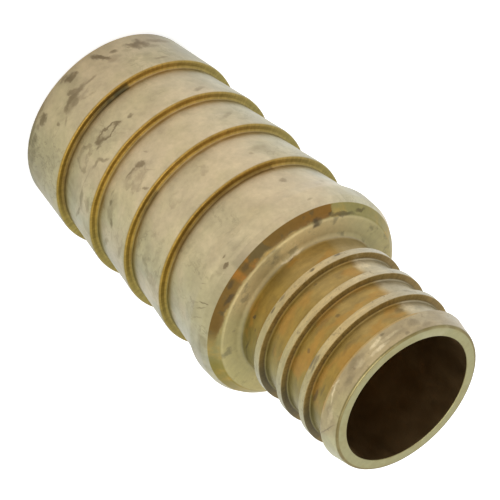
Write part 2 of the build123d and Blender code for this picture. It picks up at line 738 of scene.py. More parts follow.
@dataclass(frozen=True)
class BrassTones:
    """Colours of the aged brass, by the place they are found in. The rings round the axis also carry painted
    light: brightest between about 100 and 140 degrees, where the main light falls, and darker towards 0
    degrees.
    """

    # painted light on the ramps: brighter about 124 degrees, where the main light falls, and paler towards
    # 160 degrees
    ramp: ToneRing = ToneRing(
        (-180, 176, 170, 144), (-90, 184, 171, 140), (0, 152, 150, 130), (26, 160, 158, 132),
        (46, 170, 163, 128), (64, 182, 169, 132), (90, 186, 170, 136), (106, 186, 170, 134),
        (124, 194, 178, 145), (142, 188, 176, 147), (160, 184, 181, 160), (180, 176, 170, 144))
    # gold of the barb walls: their brass, warmed by painted reflection of brass in brass at each step
    wall: ToneRing = ToneRing(
        (-180, 166, 152, 88), (-90, 186, 150, 78), (0, 160, 146, 82), (24, 162, 142, 72),
        (48, 176, 144, 66), (90, 186, 150, 74), (130, 188, 152, 78), (154, 174, 150, 84),
        (180, 166, 152, 88))
    # painted reflection of each gold wall on the foot of the ramp above it
    blush: ToneRing = ToneRing(
        (-180, 156, 144, 96), (-90, 180, 152, 96), (0, 136, 128, 76), (30, 146, 138, 82),
        (60, 170, 146, 88), (90, 174, 150, 98), (130, 182, 154, 102), (160, 164, 150, 102),
        (180, 156, 144, 96))
    bevel: ToneRing = ToneRing(
        (-180, 150, 140, 84), (-90, 164, 150, 96), (0, 142, 128, 54), (18, 144, 132, 62),
        (27, 150, 142, 90), (60, 160, 144, 92), (110, 168, 146, 96), (143, 152, 144, 92),
        (180, 150, 140, 84))
    # the shoulder face's colours carry a painted highlight from about 104 to 118 degrees, beside the neck
    # fillet
    face: ToneRing = ToneRing(
        (-180, 170, 160, 112), (-90, 184, 164, 116), (0, 168, 158, 106), (50, 178, 166, 116),
        (66, 194, 174, 124), (86, 184, 164, 114), (104, 216, 194, 138), (118, 204, 182, 130),
        (138, 196, 178, 130), (160, 184, 172, 124), (180, 170, 160, 112))
    land: ToneRing = ToneRing(
        (-180, 150, 138, 96), (-90, 172, 146, 92), (0, 142, 132, 82), (24, 136, 126, 70),
        (46, 140, 122, 56), (66, 154, 124, 50), (86, 154, 126, 56), (106, 164, 136, 74),
        (134, 164, 134, 68), (141, 182, 168, 134), (160, 176, 166, 134), (180, 150, 138, 96))
    rib: ToneRing = ToneRing(
        (-180, 168, 158, 124), (-90, 182, 162, 124), (0, 152, 150, 116), (30, 160, 154, 116),
        (56, 174, 160, 112), (90, 188, 164, 112), (110, 194, 170, 120), (132, 188, 172, 136),
        (160, 182, 176, 152), (180, 168, 158, 124))
    end_rib: ToneRing = ToneRing(
        (-180, 170, 160, 132), (-90, 184, 166, 134), (0, 162, 160, 118), (30, 168, 162, 120),
        (56, 180, 166, 118), (78, 178, 160, 118), (98, 194, 174, 128), (118, 188, 170, 130),
        (140, 180, 166, 134), (162, 170, 166, 146), (180, 170, 160, 132))
    gold: Colour = tone(206, 160, 72)
    # the next two colours paint the dark reflection on the bevel
    brown: Colour = tone(120, 92, 46)
    burnt: Colour = tone(168, 110, 42)
    root: Colour = tone(122, 96, 50)
    black_green: Colour = tone(78, 76, 56)
    orange: Colour = tone(172, 126, 50)
    lowest_land: Colour = tone(164, 138, 78)
    olive: Colour = tone(164, 155, 118)
    rose: Colour = tone(194, 174, 144)
    rib_wall_dark: Colour = tone(132, 110, 58)
    rib_wall_light: Colour = tone(164, 138, 80)
    end_rib_warm: Colour = tone(162, 142, 104)
    # gold of the painted highlight along the end rib's lower edge
    end_rib_gold: Colour = tone(178, 144, 80)
    mouth: Colour = tone(154, 149, 106)
    mouth_edge: Colour = tone(122, 108, 62)
    mouth_dirt: Colour = tone(138, 128, 84)
    mouth_bare: Colour = tone(188, 186, 156)
    bore: Colour = tone(172, 146, 104)
    stain: Colour = tone(110, 92, 64)
    stain_green: Colour = tone(112, 102, 70)
    # pale of rubbed wear and of the painted glints and highlight
    pale: Colour = tone(240, 222, 180)
    pit: Colour = tone(84, 72, 50)


class MarkKind(Enum):
    """How a mark on the surface looks."""

    BLOT = "filled"
    RING = "dark rim, light middle"


@dataclass(frozen=True)
class Mark:
    """A stain, a nick, a scratch or a painted glint. Lengths are in millimetres.

    Attributes:
        angle: where its middle lies round the axis, in degrees.
        height: height of its middle.
        across: half its length along the surface.
        tall: half its height.
        strength: how strongly it shows, from 0 to 1.
        turn: its turn in radians; where it is positive, the mark falls as the angle grows.
        kind: filled, or a ring.
    """

    angle: float
    height: float
    across: float
    tall: float
    strength: float
    turn: float = 0.0
    kind: MarkKind = MarkKind.BLOT


@dataclass(frozen=True)
class MarkLayer:
    """Marks that are drawn together.

    Attributes:
        radius: about how far from the axis they lie, in millimetres.
        marks: the marks.
    """

    radius: float
    marks: tuple[Mark, ...]


def mark_layer(radius: float, *rows: tuple) -> MarkLayer:
    """Makes a layer from rows that give the fields of a mark in order."""
    return MarkLayer(radius, tuple(Mark(*row) for row in rows))


@dataclass(frozen=True)
class RootStain:
    """A dark stretch in one barb root: dirt left there, with painted shade in those at the front, from 0 to
    135 degrees.

    Attributes:
        barb: number of the barb below it, from 0.
        start: degrees at which it starts.
        end: degrees at which it ends.
        strength: how strongly it shows, from 0 to 1.
        black: how black it is, from 0 to 1.
    """

    barb: int
    start: float
    end: float
    strength: float
    black: float = 0.0


RING = MarkKind.RING
# brown and green stains of the ramps and the collar
STAINS = mark_layer(
    13.7,
    # first ramp, from the end face up
    (50.5, 1.25, 0.62, 0.42, 0.75), (57.5, 1.2, 0.5, 0.4, 0.6), (63.5, 1.55, 0.75, 0.6, 0.95),
    (40.0, 1.6, 2.5, 0.42, 0.5, -0.42), (34.0, 0.9, 1.4, 0.6, 0.35), (91.5, 1.25, 0.85, 0.5, 0.95),
    (88.0, 0.5, 0.7, 0.3, 0.6), (111.0, 1.9, 1.35, 0.38, 0.95, -1.0), (119.0, 2.25, 0.6, 0.3, 0.75),
    (116.5, 3.4, 0.8, 0.45, 0.4), (134.0, 2.6, 1.5, 0.95, 0.8, -0.25), (148.0, 2.1, 2.4, 0.5, 0.5),
    (85.5, 4.2, 2.0, 0.55, 0.75, 0.12), (87.5, 3.3, 0.75, 0.55, 0.7, -0.8), (84.5, 5.0, 0.9, 0.5, 0.6),
    (97.0, 4.2, 1.1, 0.2, 0.6), (68.5, 4.7, 0.3, 0.26, 0.7), (94.5, 5.6, 1.6, 0.65, 0.32, 0.0, RING),
    (53.0, 6.8, 0.8, 0.18, 0.3), (136.0, 6.9, 0.9, 0.2, 0.4), (60.0, 0.2, 3.0, 0.22, 0.5),
    (55.0, 0.35, 3.6, 0.3, 0.6), (47.0, 1.2, 1.2, 0.4, 0.55), (80.0, 4.9, 1.1, 0.6, 0.4, -0.5),
    (73.0, 5.7, 0.7, 0.2, 0.35, 0.6), (124.0, 3.1, 0.5, 0.5, 0.35), (140.0, 3.6, 0.9, 0.4, 0.4),
    # second ramp
    (65.0, 11.1, 1.9, 0.95, 0.55, 0.25, RING), (84.5, 12.15, 2.15, 0.72, 0.95, -0.2, RING),
    (91.5, 12.5, 0.8, 0.45, 0.5, -0.4), (98.5, 13.2, 0.32, 0.3, 0.8), (76.0, 12.35, 0.8, 0.16, 0.6),
    (33.0, 12.5, 1.6, 0.2, 0.6, -0.45), (44.5, 13.2, 1.3, 0.34, 0.6, 0.15),
    (56.0, 13.05, 1.8, 0.13, 0.45, -0.1), (66.5, 13.6, 0.9, 0.2, 0.6, -0.15),
    (71.7, 14.35, 0.95, 0.26, 0.7, -1.0), (45.5, 14.8, 1.1, 0.7, 0.55, 0.3), (44.0, 10.5, 1.4, 0.5, 0.3),
    (138.0, 14.6, 1.1, 0.3, 0.4, 0.4), (92.0, 14.3, 0.9, 0.1, 0.3, -1.1),
    # third ramp
    (29.5, 18.4, 1.3, 0.3, 0.6, -0.55), (51.5, 18.9, 1.7, 0.7, 0.5, 0.35), (55.2, 18.3, 0.35, 0.3, 0.85),
    (47.0, 19.5, 0.6, 0.3, 0.8, 0.5), (60.0, 17.9, 0.8, 0.12, 0.35), (41.0, 20.1, 1.1, 0.12, 0.4, 0.1),
    (77.0, 19.0, 1.1, 0.18, 0.65, -0.1), (83.3, 19.5, 0.7, 0.36, 0.8, -1.1),
    (77.0, 20.4, 1.9, 1.2, 0.42, 0.2, RING), (84.5, 21.2, 0.9, 0.13, 0.4, -1.0),
    (76.2, 22.8, 0.55, 0.2, 0.55, -1.1), (90.3, 18.7, 0.4, 0.12, 0.55, -1.0),
    (38.0, 22.6, 1.5, 0.3, 0.3, -0.3), (138.0, 20.6, 1.8, 0.35, 0.32, 0.45), (115.0, 19.5, 0.6, 0.3, 0.2),
    (73.0, 19.3, 1.0, 0.5, 0.3), (79.0, 20.9, 1.3, 0.9, 0.32, -0.3), (56.0, 18.8, 1.4, 0.5, 0.35),
    # fourth ramp
    (38.5, 28.6, 1.0, 1.1, 0.5, 0.6), (43.5, 27.3, 0.6, 0.8, 0.5, -0.8), (48.0, 27.9, 0.35, 0.5, 0.5, 0.6),
    (52.0, 29.5, 1.7, 0.55, 0.4, -0.1), (43.0, 30.2, 1.2, 0.4, 0.35), (60.5, 27.3, 0.3, 0.5, 0.35, 0.4),
    (62.0, 29.2, 0.6, 0.3, 0.35, -0.5), (84.0, 27.2, 1.4, 0.9, 0.25, 0.0, RING),
    (104.5, 26.4, 0.5, 0.8, 0.3, 0.4), (128.5, 28.6, 0.4, 0.4, 0.35, 0.8), (137.0, 28.3, 1.2, 1.0, 0.25),
    (46.0, 28.9, 2.2, 0.9, 0.3, -0.3), (35.0, 29.6, 1.2, 0.6, 0.3), (103.0, 27.4, 0.4, 0.5, 0.25),
    # last ramp and collar
    (131.2, 34.55, 0.45, 0.42, 0.6, 0.5), (65.5, 36.0, 0.6, 0.35, 0.25), (147.0, 36.9, 1.3, 0.6, 0.3, 0.7),
    (44.0, 36.7, 0.8, 0.3, 0.25), (76.7, 40.1, 0.42, 0.3, 1.0), (73.5, 39.9, 0.8, 0.5, 0.4),
    (79.8, 39.05, 0.3, 0.12, 0.6), (86.0, 39.6, 0.5, 0.3, 0.3), (55.2, 39.95, 0.75, 0.07, 0.9, -1.25),
    (51.5, 39.7, 0.9, 0.07, 0.6, -1.0), (45.5, 39.5, 0.9, 0.1, 0.45, -1.0),
    (63.0, 38.6, 0.5, 0.06, 0.4, -1.0), (130.0, 40.1, 0.35, 0.2, 0.4), (33.0, 40.3, 2.4, 0.4, 0.3),
    (68.0, 39.4, 0.5, 0.3, 0.35),
    # the far side
    (-150.0, 2.0, 1.5, 0.7, 0.7, 0.3), (-112.0, 1.4, 0.8, 0.5, 0.8), (-84.0, 3.9, 1.9, 0.6, 0.6, -0.3),
    (-40.0, 1.8, 1.2, 0.6, 0.6, 0.5), (-128.0, 12.0, 2.0, 0.8, 0.7, 0.2, RING),
    (-62.0, 11.4, 1.4, 0.6, 0.6, -0.4, RING), (-95.0, 20.2, 1.8, 0.8, 0.45, 0.3),
    (-30.0, 19.4, 1.2, 0.4, 0.5, -0.5), (-160.0, 20.5, 1.0, 0.5, 0.5), (-72.0, 28.2, 1.6, 0.9, 0.35, 0.6),
    (-140.0, 28.8, 1.2, 0.7, 0.4, -0.6), (-105.0, 35.6, 0.6, 0.5, 0.5, 0.5), (-50.0, 36.2, 1.0, 0.4, 0.35),
    (-88.0, 39.8, 0.9, 0.4, 0.5), (-132.0, 39.6, 0.8, 0.08, 0.6, 1.1), (-36.0, 39.5, 0.6, 0.3, 0.4),
)
# dark specks and lines of the bevel, the shoulder and the crimp spigot
SPIGOT_DIRT = mark_layer(
    11.0,
    (63.5, 42.25, 0.7, 0.14, 0.9, -0.2), (127.2, 42.62, 0.5, 0.3, 1.0), (145.0, 42.42, 1.6, 0.16, 0.8),
    (138.5, 42.4, 0.5, 0.2, 0.7), (160.0, 41.95, 0.7, 0.14, 0.7, 0.3), (71.0, 41.75, 0.4, 0.2, 0.8),
    (83.0, 41.8, 0.5, 0.25, 0.7), (30.5, 44.0, 1.1, 0.12, 0.7, -0.25), (19.0, 43.6, 1.4, 0.1, 0.5, -0.2),
    (57.5, 44.25, 0.3, 0.2, 0.9, -0.6), (104.5, 43.2, 0.35, 0.14, 0.6), (49.5, 45.1, 0.25, 0.14, 0.5),
    (72.5, 46.95, 0.4, 0.13, 0.8), (82.5, 46.95, 0.45, 0.16, 0.6), (108.0, 46.95, 0.35, 0.13, 0.9),
    (127.5, 46.9, 0.4, 0.13, 0.8), (66.0, 55.7, 0.8, 0.2, 0.7), (69.0, 56.1, 0.6, 0.2, 0.6),
    (63.0, 56.2, 0.5, 0.15, 0.6), (45.0, 57.35, 0.9, 0.25, 0.75, -0.2), (53.0, 58.1, 0.8, 0.12, 0.5),
    (132.5, 57.8, 0.6, 0.35, 0.5), (67.5, 53.7, 0.25, 0.2, 0.6), (98.5, 53.75, 0.25, 0.2, 0.6),
    (108.5, 60.2, 0.3, 0.12, 0.6), (121.5, 61.7, 0.3, 0.2, 0.5), (103.5, 48.4, 0.25, 0.15, 0.5),
    (84.0, 60.6, 1.1, 0.5, 0.35), (119.0, 61.2, 1.0, 0.35, 0.3), (129.0, 60.9, 0.8, 0.4, 0.35),
    (73.0, 61.2, 0.9, 0.3, 0.3), (50.0, 60.6, 0.9, 0.3, 0.3), (138.0, 61.6, 0.8, 0.25, 0.35),
    (36.0, 59.6, 1.4, 0.3, 0.35), (90.0, 57.9, 1.6, 0.25, 0.3), (52.0, 48.8, 1.6, 0.4, 0.25),
    (120.0, 48.9, 0.8, 0.6, 0.25), (86.0, 53.2, 1.5, 0.3, 0.3), (116.0, 53.8, 0.9, 0.3, 0.25),
    (135.0, 54.9, 1.2, 0.14, 0.4, -0.3), (142.0, 55.5, 1.4, 0.12, 0.4, -0.3),
    (33.0, 60.8, 1.6, 0.08, 0.5, -0.6),
)
# bright places of the crimp spigot: rubbed wear, with painted glints on the end rib and a painted highlight
# along the neck fillet at 106 degrees
WEAR_AND_GLINTS = mark_layer(
    10.8,
    (100.0, 59.4, 0.8, 0.12, 0.9), (101.5, 60.5, 0.9, 0.22, 0.8, 0.2), (101.0, 61.4, 1.2, 0.2, 0.7),
    (58.0, 59.5, 1.3, 0.12, 0.6), (61.0, 60.3, 1.3, 0.1, 0.7, 0.2), (66.0, 60.0, 0.6, 0.08, 0.6, -0.3),
    (106.0, 43.0, 1.5, 0.13, 0.8), (140.0, 48.7, 0.8, 0.75, 0.55), (141.0, 57.6, 0.9, 0.6, 0.5),
    (86.0, 61.0, 0.6, 0.3, 0.3), (110.0, 60.9, 1.5, 0.2, 0.4), (46.0, 60.9, 1.2, 0.3, 0.3),
)
# dark stretches in the barb roots: dirt left there, and on the front, from 0 to 135 degrees, painted shade as
# well
ROOT_DIRT_AND_SHADE = (
    RootStain(0, 8.0, 110.0, 0.75, 0.25), RootStain(0, 78.0, 110.5, 0.9, 0.9),
    RootStain(1, 78.0, 94.0, 0.45), RootStain(2, 18.0, 42.0, 0.5), RootStain(2, 48.0, 79.0, 0.75, 0.5),
    RootStain(3, 46.0, 134.5, 0.85), RootStain(3, -80.0, -40.0, 0.7), RootStain(1, -130.0, -75.0, 0.7, 0.4),
    RootStain(0, -160.0, -120.0, 0.6),
)


@dataclass(frozen=True)
class Site:
    """Where a shading point lies on the body, as wires.

    Attributes:
        place: the point itself, as a vector in metres.
        x: the vector's first part.
        y: the vector's second part.
        height: height above the barbed end, in millimetres.
        radius: distance from the axis, in millimetres.
        angle: degrees round the axis, from +X towards -Y.
        up: how far the surface faces up, 1 at most.
        outward: how far it faces away from the axis, 1 at most.
        coarse: noise of about hand-mark size.
        medium: noise of about a millimetre or two.
        fine: noise of under a millimetre.
        warp_across: what a mark's ragged edge adds to the arc, in millimetres.
        warp_up: what it adds to the height.
    """

    place: Wire
    x: Wire
    y: Wire
    height: Wire
    radius: Wire
    angle: Wire
    up: Wire
    outward: Wire
    coarse: Wire
    medium: Wire
    fine: Wire
    warp_across: Wire
    warp_up: Wire


class BrassFinish:
    """The aged brass material of the whole body, laid on from the tarnished metal to the dirt, with painted
    light and painted reflections among its layers.
    """

    def __init__(self, sizes: BodySizes, tones: BrassTones) -> None:
        """Keeps the sizes and colours."""
        self.sizes = sizes
        self.tones = tones

    def site(self, graph: Graph) -> Site:
        """Works out the place of a point on the body, and the noises that every layer shares.

        Args:
            graph: the material's graph.

        Returns:
            The place and the noises.
        """
        place = graph.place("ShaderNodeTexCoord", {}, output="Object")
        x, y, z = graph.parts(place)
        radius = graph.math("SQRT", x * x + y * y)
        normal = graph.place("ShaderNodeNewGeometry", {}, output="Normal")
        normal_x, normal_y, normal_z = graph.parts(normal)
        warp = graph.place("ShaderNodeTexNoise",
                           {"Vector": place, "Scale": 700.0, "Detail": 3.0, "Roughness": 0.6},
                           output="Color", noise_dimensions="3D")
        warp_x, warp_y, _ = graph.parts(warp)
        return Site(
            place=place, x=x, y=y, height=z / MM, radius=radius / MM,
            angle=graph.math("ARCTAN2", y * -1.0, x) * (180.0 / math.pi), up=normal_z,
            outward=(normal_x * x + normal_y * y) / radius,
            coarse=graph.noise(place, 130.0, detail=3.0),
            medium=graph.noise(place, 420.0, detail=4.0, roughness=0.6),
            fine=graph.noise(place, 1500.0, detail=3.0, roughness=0.65),
            warp_across=(warp_x - 0.5) * 4.4, warp_up=(warp_y - 0.5) * 3.2)

    def mark_group(self, kind: MarkKind) -> bpy.types.NodeTree:
        """Builds the group that draws one mark with a ragged edge.

        Args:
            kind: a filled blot, or a tide ring.

        Returns:
            The group, with the output Mask.
        """
        real = "NodeSocketFloat"
        names = ("Arc", "Height", "Warp Across", "Warp Up", "Middle Arc", "Middle Height", "Half Width",
                 "Half Height", "Turn", "Raggedness", "Strength")
        # the same groups also draw the painted glints
        graph, given, end = new_group(f"stain {kind.name.lower()}", "ShaderNodeTree",
                                      {name: (real, 0.0) for name in names}, {"Mask": real})
        across = given["Arc"] - given["Middle Arc"] + given["Warp Across"] * given["Raggedness"]
        along = given["Height"] - given["Middle Height"] + given["Warp Up"] * given["Raggedness"]
        cosine, sine = graph.math("COSINE", given["Turn"]), graph.math("SINE", given["Turn"])
        wide = across * (cosine / given["Half Width"]) - along * (sine / given["Half Width"])
        high = along * (cosine / given["Half Height"]) + across * (sine / given["Half Height"])
        reach = wide * wide + high * high
        shape = reach.rise(2.4, 0.05)
        if kind is MarkKind.RING:
            shape = reach.band(0.35, 1.25, 0.85).at_least(shape * 0.2)
        graph.feed(end.inputs["Mask"], shape * given["Strength"])
        return graph.tree

    def marks(self, graph: Graph, at: Site, groups: dict[MarkKind, bpy.types.NodeTree],
              layer: MarkLayer) -> Wire:
        """Adds up the marks of a layer into one mask: the strongest one shows.

        Args:
            graph: the material's graph.
            at: the point on the body.
            groups: the mark group of each kind.
            layer: the marks to draw.

        Returns:
            The mask.
        """
        arc = math.radians(layer.radius)
        here = at.angle * arc
        total: Optional[Wire] = None
        for mark in layer.marks:
            mask = graph.group(groups[mark.kind], {
                "Arc": here, "Height": at.height, "Warp Across": at.warp_across, "Warp Up": at.warp_up,
                "Middle Arc": mark.angle * arc, "Middle Height": mark.height, "Half Width": mark.across,
                "Half Height": mark.tall, "Turn": mark.turn, "Raggedness": mark.tall * 0.75 + 0.1,
                "Strength": mark.strength})
            total = mask if total is None else total.at_least(mask)
        return total

    def patina(self, graph: Graph, at: Site) -> Wire:
        """Colours the barb ramps and the collar, with their slow drift and faint tide marks, and the painted
        light that their colours carry round the axis.

        Args:
            graph: the material's graph.
            at: the point on the body.

        Returns:
            The colour.
        """
        tones = self.tones
        # the ramp colours carry painted light round the axis
        colour = tones.ramp.wire(graph, at.angle)
        side = at.angle.rise(80.0, 40.0) * at.angle.rise(-60.0, 0.0)
        colour = graph.blend(at.coarse.rise(0.48, 0.62) * (0.3 + side * 0.4), colour, tones.olive)
        colour = graph.blend(at.coarse.rise(0.5, 0.38) * 0.3, colour, tones.rose)
        drift = graph.noise(at.place, 300.0, detail=4.0, roughness=0.55)
        colour = graph.shade(colour, drift.rise(0.3, 0.7) * 0.17 + 0.915)
        tide = graph.noise(at.place, 190.0, detail=5.0, roughness=0.62, distortion=0.6)
        lines = tide.band(0.49, 0.505, 0.03) * 0.5 + tide.rise(0.54, 0.64) * 0.3
        patch = at.coarse.rise(0.46, 0.6) * 0.6 + side * 0.6
        return graph.blend(lines * patch, colour, tones.stain_green)

    def barb_steps(self, graph: Graph, at: Site, colour: Wire) -> Wire:
        """Adds the gold walls, partly painted reflection, the painted reflection of each wall on the foot of
        the ramp above it, and the dark stretches in the roots, dirt with painted shade on the front ones.

        Args:
            graph: the material's graph.
            at: the point on the body.
            colour: the colour so far.

        Returns:
            The colour with this layer on it.
        """
        tones, sizes = self.tones, self.sizes
        barbs = at.height.rise(33.6, 32.8)
        lift = graph.math("MODULO", (at.height - sizes.first_barb_top + 0.02).at_least(0.0), sizes.barb_pitch)
        ragged = (at.coarse - 0.5) * 1.2 + (at.medium - 0.5) * 0.5
        sides = at.angle.rise(66.0, 24.0).at_least(at.angle.rise(112.0, 152.0))
        above_root = at.height.rise(sizes.first_barb_top - 0.1, sizes.first_barb_top) * barbs
        # painted reflection: the gold of each wall shows on the foot of the ramp above it
        blush = graph.step(lift + ragged, 0.85 + sides * 0.9, 0.1) * above_root
        colour = graph.blend(blush * 0.95, colour, tones.blush.wire(graph, at.angle))
        chatter = graph.noise(graph.vector(at.angle * 0.55, at.radius * 0.5, at.height * 0.2), 1.0,
                              detail=4.0, roughness=0.75)
        # the walls' gold is their brass with painted reflection in it
        wall = at.up.rise(0.25, 0.7) * barbs * at.outward.rise(-0.5, -0.1)
        gold = graph.shade(tones.wall.wire(graph, at.angle),
                           chatter.rise(0.3, 0.7) * 0.3 + 0.72 + at.medium * 0.1)
        colour = graph.blend(wall, colour, gold)
        # dark stretches in the roots: dirt, with painted shade in those at the front
        for stain in ROOT_DIRT_AND_SHADE:
            top = sizes.first_barb_top + stain.barb * sizes.barb_pitch
            reach = at.height.band(top - 0.1, top + 0.5, 0.42) * at.radius.rise(13.9, 13.2)
            run = at.angle.band(stain.start, stain.end, 2.2) * (at.angle - stain.start).rise(0.0, 22.0)
            grain = 0.55 + at.medium.rise(0.35, 0.6) * 0.45
            dark = graph.blend(stain.black, tones.root, tones.black_green)
            colour = graph.blend(reach * run * grain * stain.strength, colour, dark)
        return colour

    def bevel(self, graph: Graph, at: Site, colour: Wire) -> Wire:
        """Adds the bevel above the collar with its brown band, a painted dark reflection on the front, from
        about 33 to 140 degrees.

        Args:
            graph: the material's graph.
            at: the point on the body.
            colour: the colour so far.

        Returns:
            The colour with this layer on it.
        """
        tones, sizes = self.tones, self.sizes
        bevel = at.height.rise(sizes.lip - 0.06, sizes.lip + 0.02) * at.radius.rise(12.6, 12.8)
        bevel = bevel * at.height.rise(43.0, 42.9)
        skin = graph.blend(at.medium.rise(0.45, 0.7) * 0.3, tones.bevel.wire(graph, at.angle), tones.gold)
        colour = graph.blend(bevel, colour, skin)
        # painted dark reflection: a brown band on the front of the bevel, with amber and greenish spots in it
        dip = at.angle.rise(52.0, 34.0) * 0.35
        band = graph.step(at.height + (at.medium - 0.5) * 0.9, 42.62 - dip, 42.34 - dip)
        frayed = at.angle + (at.medium - 0.5) * 14.0
        dark_reflection = band * frayed.band(33.0, 139.5, 2.5) * at.angle.rise(30.0, 46.0) * bevel
        amber_share = at.angle.band(74.5, 79.0, 3.0).at_least(at.angle.band(84.5, 90.5, 3.0) * 0.7)
        amber_share = amber_share * at.medium.rise(0.62, 0.42)
        amber_share = amber_share * 0.75 + at.angle.rise(100.0, 136.0) * 0.3
        reflection_tint = graph.blend(amber_share, tones.brown, tones.burnt)
        reflection_tint = graph.blend(at.medium.rise(0.5, 0.62) * 0.6, reflection_tint, tones.black_green)
        return graph.blend(dark_reflection * 0.94, colour, reflection_tint)

    def shoulder(self, graph: Graph, at: Site, colour: Wire) -> Wire:
        """Adds the flat shoulder face with its painted highlight beside the neck fillet, and paints light on
        the chamfer under the lip, so that it shades no darker than the collar.

        Args:
            graph: the material's graph.
            at: the point on the body.
            colour: the colour so far.

        Returns:
            The colour with this layer on it.
        """
        tones = self.tones
        face = at.height.rise(42.5, 42.7) * at.height.rise(43.35, 43.0) * at.up.rise(0.35, 0.8)
        skin = graph.blend(at.medium.rise(0.54, 0.66) * 0.45, tones.face.wire(graph, at.angle),
                           tones.black_green)
        middle = at.angle.band(74.0, 106.0, 14.0) * at.coarse.rise(0.4, 0.6) * at.medium.rise(0.4, 0.55)
        skin = graph.blend(middle * 0.35, skin, tones.black_green)
        colour = graph.blend(face, colour, skin)
        # painted light: the chamfer under the lip is lightened against the darker shading it takes
        lip_painted_light = at.height.rise(40.5, 40.75) * at.height.rise(41.5, 41.42) * 0.2
        return graph.shade(colour, lip_painted_light + 1.0)

    def crimp_spigot(self, graph: Graph, at: Site, colour: Wire) -> Wire:
        """Adds the lands, the ribs, the end rib and the mouth.

        Args:
            graph: the material's graph.
            at: the point on the body.
            colour: the colour so far.

        Returns:
            The colour with this layer on it.
        """
        tones = self.tones
        spigot = at.height.rise(42.86, 43.3)
        patch = graph.noise(graph.vector(at.x * 1.0, at.y * 1.0, at.height * (2.2 * MM)), 240.0, detail=3.0)
        grime = graph.noise(graph.vector(at.angle * 0.05, at.height * 0.9, at.radius * 0.3), 1.0, detail=5.0,
                            roughness=0.62)
        land = graph.shade(tones.land.wire(graph, at.angle), grime.rise(0.3, 0.7) * 0.34 + 0.8)
        land = graph.blend(patch.rise(0.5, 0.62) * 0.6 * at.angle.band(40.0, 136.0, 20.0), land, tones.orange)
        lowest = at.height.rise(46.6, 46.4) * at.angle.rise(128.0, 140.0) * 0.7
        land = graph.blend(lowest, land, tones.lowest_land)
        colour = graph.blend(spigot, colour, land)
        colour = self.rib_crests(graph, at, grime, colour)
        colour = self.rib_walls(graph, at, grime, colour)
        colour = self.end_rib(graph, at, grime, colour)
        return self.mouth(graph, at, colour)

    def rib_crests(self, graph: Graph, at: Site, grime: Wire, colour: Wire) -> Wire:
        """Adds the pale tops of the crimp ribs.

        Args:
            graph: the material's graph.
            at: the point on the body.
            grime: noise of the dirt on the crimp spigot.
            colour: the colour so far.

        Returns:
            The colour with this layer on it.
        """
        tones = self.tones
        crest = at.radius.rise(10.5, 10.85) * at.height.rise(43.6, 44.0) * at.height.rise(59.2, 59.0)
        streak = graph.noise(graph.vector(at.angle * 0.14, at.height * 2.4, 0.0), 1.0, detail=3.0,
                             roughness=0.7)
        skin = graph.shade(tones.rib.wire(graph, at.angle), streak.rise(0.25, 0.75) * 0.24 + 0.87)
        skin = graph.shade(skin, grime.rise(0.3, 0.7) * 0.2 + 0.88)
        skin = graph.blend(at.fine.rise(0.56, 0.7) * 0.5, skin, tones.stain)
        return graph.blend(crest * at.up.size().rise(0.75, 0.4), colour, skin)

    def rib_walls(self, graph: Graph, at: Site, grime: Wire, colour: Wire) -> Wire:
        """Adds the brown upper walls of the crimp ribs, darker towards their roots, with painted shade on
        their left side from about 0 to 40 degrees.

        Args:
            graph: the material's graph.
            at: the point on the body.
            grime: noise of the dirt on the crimp spigot.
            colour: the colour so far.

        Returns:
            The colour with this layer on it.
        """
        tones = self.tones
        chatter = graph.noise(graph.vector(at.angle * 0.5, at.radius * 0.4, at.height * 0.3), 1.0, detail=4.0,
                              roughness=0.75)
        skin = graph.blend(chatter.rise(0.25, 0.7), tones.rib_wall_dark, tones.rib_wall_light)
        skin = graph.blend(at.radius.rise(10.4, 10.1) * grime.rise(0.3, 0.6) * 0.6, skin, tones.pit)
        # painted shade on the left side of the rib walls
        shaded = at.angle.rise(44.0, 22.0) * at.angle.rise(-20.0, 5.0)
        skin = graph.blend(shaded * 0.75, skin, tones.black_green)
        wall = at.up.rise(0.45, 0.8) * at.height.rise(43.6, 44.0) * at.height.rise(60.0, 59.8)
        return graph.blend(wall * at.radius.rise(10.02, 10.2), colour, skin)

    def end_rib(self, graph: Graph, at: Site, grime: Wire, colour: Wire) -> Wire:
        """Adds the end rib, with a painted golden highlight along its lower edge on the front.

        Args:
            graph: the material's graph.
            at: the point on the body.
            grime: noise of the dirt on the crimp spigot.
            colour: the colour so far.

        Returns:
            The colour with this layer on it.
        """
        tones, bottom = self.tones, self.sizes.end_rib_bottom
        end = at.height.rise(bottom - 0.05, bottom) * at.radius.rise(10.2, 10.35)
        skin = graph.blend(at.coarse.rise(0.44, 0.56) * 0.55, tones.end_rib.wire(graph, at.angle),
                           tones.end_rib_warm)
        skin = graph.shade(skin, grime.rise(0.3, 0.7) * 0.26 + 0.85)
        skin = graph.blend(at.fine.rise(0.56, 0.7) * 0.4, skin, tones.stain)
        # painted highlight: a golden line along the end rib's lower edge, from about 45 to 137 degrees
        line = at.height.band(59.6, 59.95, 0.25) * at.angle.band(45.0, 137.0, 6.0)
        skin = graph.blend(line * 0.75, skin, tones.end_rib_gold)
        return graph.blend(end, colour, skin)

    def mouth(self, graph: Graph, at: Site, colour: Wire) -> Wire:
        """Adds the face round the crimp end's mouth.

        Args:
            graph: the material's graph.
            at: the point on the body.
            colour: the colour so far.

        Returns:
            The colour with this layer on it.
        """
        tones = self.tones
        mouth = at.up.rise(0.25, 0.6) * at.height.rise(61.8, 62.05)
        rim = graph.blend(at.radius.rise(10.02, 10.2), tones.mouth, tones.mouth_edge)
        rim = graph.blend(at.medium.rise(0.46, 0.6) * 0.5, rim, tones.mouth_dirt)
        rim = graph.blend(at.coarse.rise(0.52, 0.7) * 0.35, rim, tones.mouth_bare)
        return graph.blend(mouth, colour, rim)

